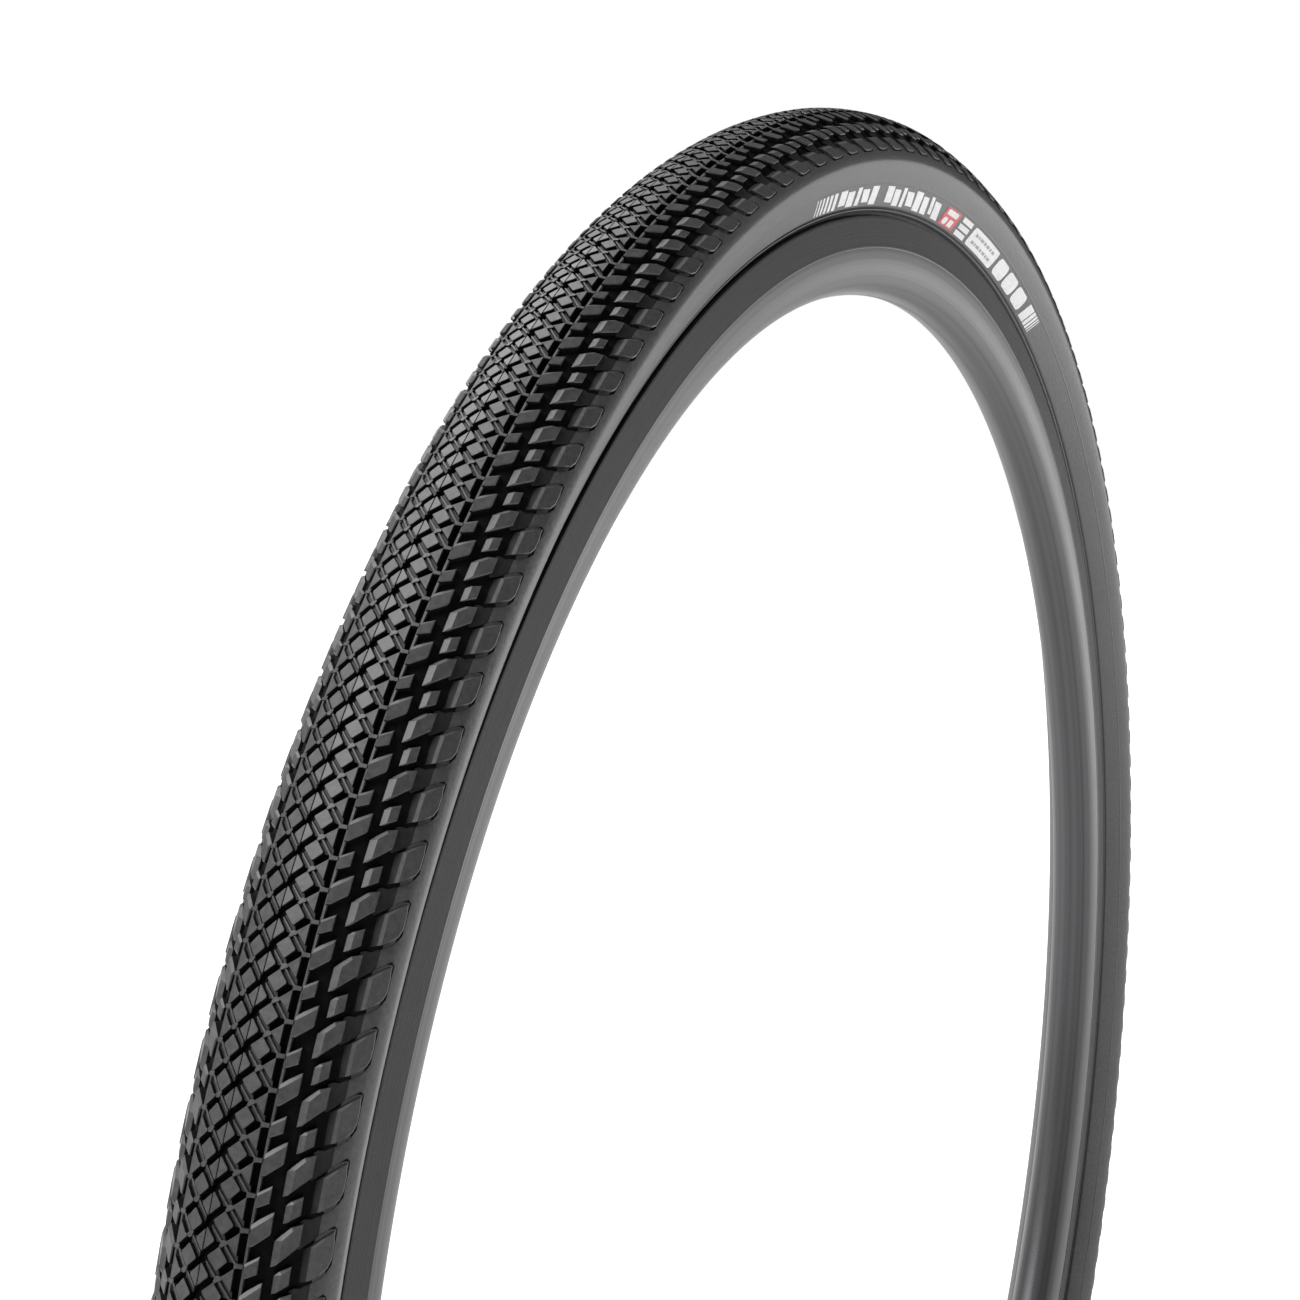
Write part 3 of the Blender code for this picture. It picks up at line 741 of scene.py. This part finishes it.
# ---------------------------------------------------------------- rim
def rim():
    """The rim, turned from the well to the middle of the spoke bed, with the brake track's fine steps."""
    half = [(WELL_RADIUS, 0.0), (WELL_RADIUS, WELL_HALF_WIDTH), (SHELF_RADIUS, SHELF_HALF_WIDTH),
            (SHELF_RADIUS, FLANGE_FACE), (FLANGE_RADIUS - 0.0012, FLANGE_FACE),
            (FLANGE_RADIUS - 0.0003, FLANGE_FACE + 0.0002), (FLANGE_RADIUS, FLANGE_FACE + 0.0005),
            (FLANGE_RADIUS, RIM_HALF_WIDTH - 0.0005), (FLANGE_RADIUS - 0.0002, RIM_HALF_WIDTH - 0.0001),
            (FLANGE_RADIUS - 0.0006, RIM_HALF_WIDTH)]
    picks = [0] * 8 + [1]
    lines = np.linspace(FLANGE_RADIUS - 0.0012, TRACK_INNER_RADIUS + 0.0004, 25)
    line_depth = 0.00003
    for k, radius in enumerate(lines):
        half.append((radius, RIM_HALF_WIDTH - (line_depth if k % 2 else 0.0)))
        picks.append(1)
    half += [(TRACK_INNER_RADIUS + 0.0002, RIM_HALF_WIDTH), (TRACK_INNER_RADIUS, RIM_HALF_WIDTH - 0.00025)]
    picks += [2, 2]
    for angle in np.radians(np.linspace(6.0, 90.0, 22)):
        drop = (TRACK_INNER_RADIUS - RIM_INNER_RADIUS) * math.sin(angle)
        half.append((TRACK_INNER_RADIUS - drop, (RIM_HALF_WIDTH - 0.0003) * math.cos(angle)))
        picks.append(3)
    picks = picks[:len(half) - 1]
    half[-1] = (half[-1][0], 0.0)
    loop = [(r, -y) for r, y in half] + [(r, y) for r, y in half[-2:0:-1]]
    picks = picks + picks[::-1]
    made = ring("rim_body", loop, WALL_STEPS, [DARK_ALLOY, TRACK, EDGE, SATIN], picks, crease=30.0)
    drill(made)
    return keep(made, "rim_alloy", "root", "rim")


def drill(made):
    """The valve hole, cut through the lowest point of the ring."""
    bpy.ops.mesh.primitive_cylinder_add(vertices=48, radius=VALVE_HOLE_RADIUS, depth=0.040,
                                        location=(0.0, 0.0, -0.3010))
    cutter = bpy.context.object
    cut = made.modifiers.new("hole", "BOOLEAN")
    cut.operation = "DIFFERENCE"
    cut.solver = "EXACT"
    cut.object = cutter
    shown = bpy.context.evaluated_depsgraph_get()
    shown.update()
    solid = bpy.data.meshes.new_from_object(made.evaluated_get(shown))
    made.modifiers.clear()
    made.data = solid
    bpy.data.objects.remove(cutter, do_unlink=True)


def centre_dots():
    """Two rows of tiny raised dots along the middle of the spoke bed."""
    points, faces = [], []
    count = 1150
    size = 0.00022
    clear_of_valve = 1.3
    for row in (-0.00035, 0.00035):
        for k in range(count):
            turn = 2 * math.pi * (k + (0.5 if row > 0 else 0.0)) / count
            out = Vector((math.cos(turn), 0.0, math.sin(turn)))
            along = Vector((-math.sin(turn), 0.0, math.cos(turn)))
            if abs(math.degrees(turn) - 270.0) < clear_of_valve:
                continue
            middle = out * (RIM_INNER_RADIUS - 0.00003) + Vector((0.0, row, 0.0))
            first = len(points)
            for rise, spread in ((0.00010, 1.15), (-0.00008, 0.8)):
                for part in range(6):
                    angle = math.pi * part / 3
                    step = along * size * math.cos(angle) + Vector((0.0, size * math.sin(angle), 0.0))
                    points.append(middle + out * rise + step * spread)
            for part in range(6):
                n = (part + 1) % 6
                faces.append([first + part, first + n, first + 6 + n, first + 6 + part])
            faces.append([first + 6 + part for part in range(6)])
            faces.append([first + part for part in range(6)][::-1])
    made = to_object("rim_centre_dots", points, faces, [EDGE])
    outward(made)
    return keep(made, "rim_alloy", "root")


# ---------------------------------------------------------------- carried-over nodes
CARRIED = {
    BELT: ["breaker_belt"],
    PLY: ["casing"],
    ARAMID: ["bead_core_left", "bead_core_right"],
    CHAFER: ["chafer_left", "chafer_right"],
    FILM: ["rim_tape"],
    DARK_ALLOY: ["valve_stem", "valve_rim_nut"],
    BRASS: ["valve_core", "valve_pin", "valve_pin_nut"],
    SEAL: ["inner_liner", "valve_base", "valve_o_ring", "valve_core_gasket", "valve_pin_seal"],
    CAP: ["valve_cap"],
}


def repaint():
    """Gives the nodes that keep their CAD mesh their materials."""
    for finish, names in CARRIED.items():
        for name in names:
            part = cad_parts[name]
            if not part.material_slots:
                part.data.materials.append(finish)
            for slot in part.material_slots:
                slot.material = finish


# ---------------------------------------------------------------- studio
def studio():
    """A white floor, a white backdrop that lights the object only faintly, two wide suns and a side lamp."""
    mesh = bpy.data.meshes.new("floor")
    reach = 6.0
    mesh.from_pydata([(-reach, -reach, 0), (reach, -reach, 0), (reach, reach, 0), (-reach, reach, 0)], [],
                     [(0, 1, 2, 3)])
    floor = bpy.data.objects.new("studio_floor", mesh)
    floor.location = (0.0, 0.0, -TREAD_RADIUS)
    bpy.context.scene.collection.objects.link(floor)
    made, _, shader = new_material("floor_white")
    shader.inputs["Base Color"].default_value = (0.90, 0.90, 0.90, 1.0)
    shader.inputs["Roughness"].default_value = 0.9
    shader.inputs["Emission Color"].default_value = (1.0, 1.0, 1.0, 1.0)
    shader.inputs["Emission Strength"].default_value = 0.15
    mesh.materials.append(made)

    world = bpy.data.worlds.new("studio")
    bpy.context.scene.world = world
    world.use_nodes = True
    tree = world.node_tree
    ambient = tree.nodes["Background"]
    ambient.inputs["Color"].default_value = (1.0, 1.0, 1.0, 1.0)
    ambient.inputs["Strength"].default_value = 0.17
    backdrop = node(tree, "ShaderNodeBackground", Color=(1.0, 1.0, 1.0, 1.0), Strength=1.0)
    path = node(tree, "ShaderNodeLightPath")
    mix = node(tree, "ShaderNodeMixShader")
    tree.links.new(path.outputs["Is Camera Ray"], mix.inputs[0])
    tree.links.new(ambient.outputs[0], mix.inputs[1])
    tree.links.new(backdrop.outputs[0], mix.inputs[2])
    tree.links.new(mix.outputs[0], tree.nodes["World Output"].inputs["Surface"])

    for name, towards, energy in (("overhead_left", (-0.50, 0.40, 0.77), 3.4),
                                  ("overhead_back", (0.22, 0.52, 0.82), 2.2)):
        sky = bpy.data.lights.new(name, "SUN")
        sky.energy = energy
        sky.angle = math.radians(40.0)
        lit = bpy.data.objects.new(name, sky)
        lit.rotation_euler = (-Vector(towards)).to_track_quat("-Z", "Y").to_euler()
        bpy.context.scene.collection.objects.link(lit)
    lamp("flank", (1.55, -1.20, -0.10), (0.0, 0.0, 0.10), size=1.0, power=10.0)
    bpy.context.scene.view_settings.view_transform = "Standard"


def lamp(name, place, target, size, power):
    data = bpy.data.lights.new(name, "AREA")
    data.shape = "DISK"
    data.size = size
    data.energy = power
    made = bpy.data.objects.new(name, data)
    made.location = place
    aim = Vector(target) - Vector(place)
    made.rotation_euler = aim.to_track_quat("-Z", "Y").to_euler()
    bpy.context.scene.collection.objects.link(made)


def camera():
    """Above and to the left of the wheel, a little in front of it."""
    data = bpy.data.cameras.new("camera")
    data.lens = 54.088
    data.sensor_width = 36.0
    data.clip_start = 0.01
    data.clip_end = 50.0
    made = bpy.data.objects.new("camera", data)
    bpy.context.scene.collection.objects.link(made)
    made.location = (-0.595088, -0.223931, 0.278731)
    azimuth, elevation = math.radians(-63.3868), math.radians(8.9227)
    back = Vector((math.sin(azimuth) * math.cos(elevation), -math.cos(azimuth) * math.cos(elevation),
                   math.sin(elevation)))
    made.rotation_euler = (-back).to_track_quat("-Z", "Y").to_euler()
    bpy.context.scene.camera = made


camera()
studio()
tread()
sidewall(1)
sidewall(-1)
label(1)
label(-1)
rim()
centre_dots()
repaint()
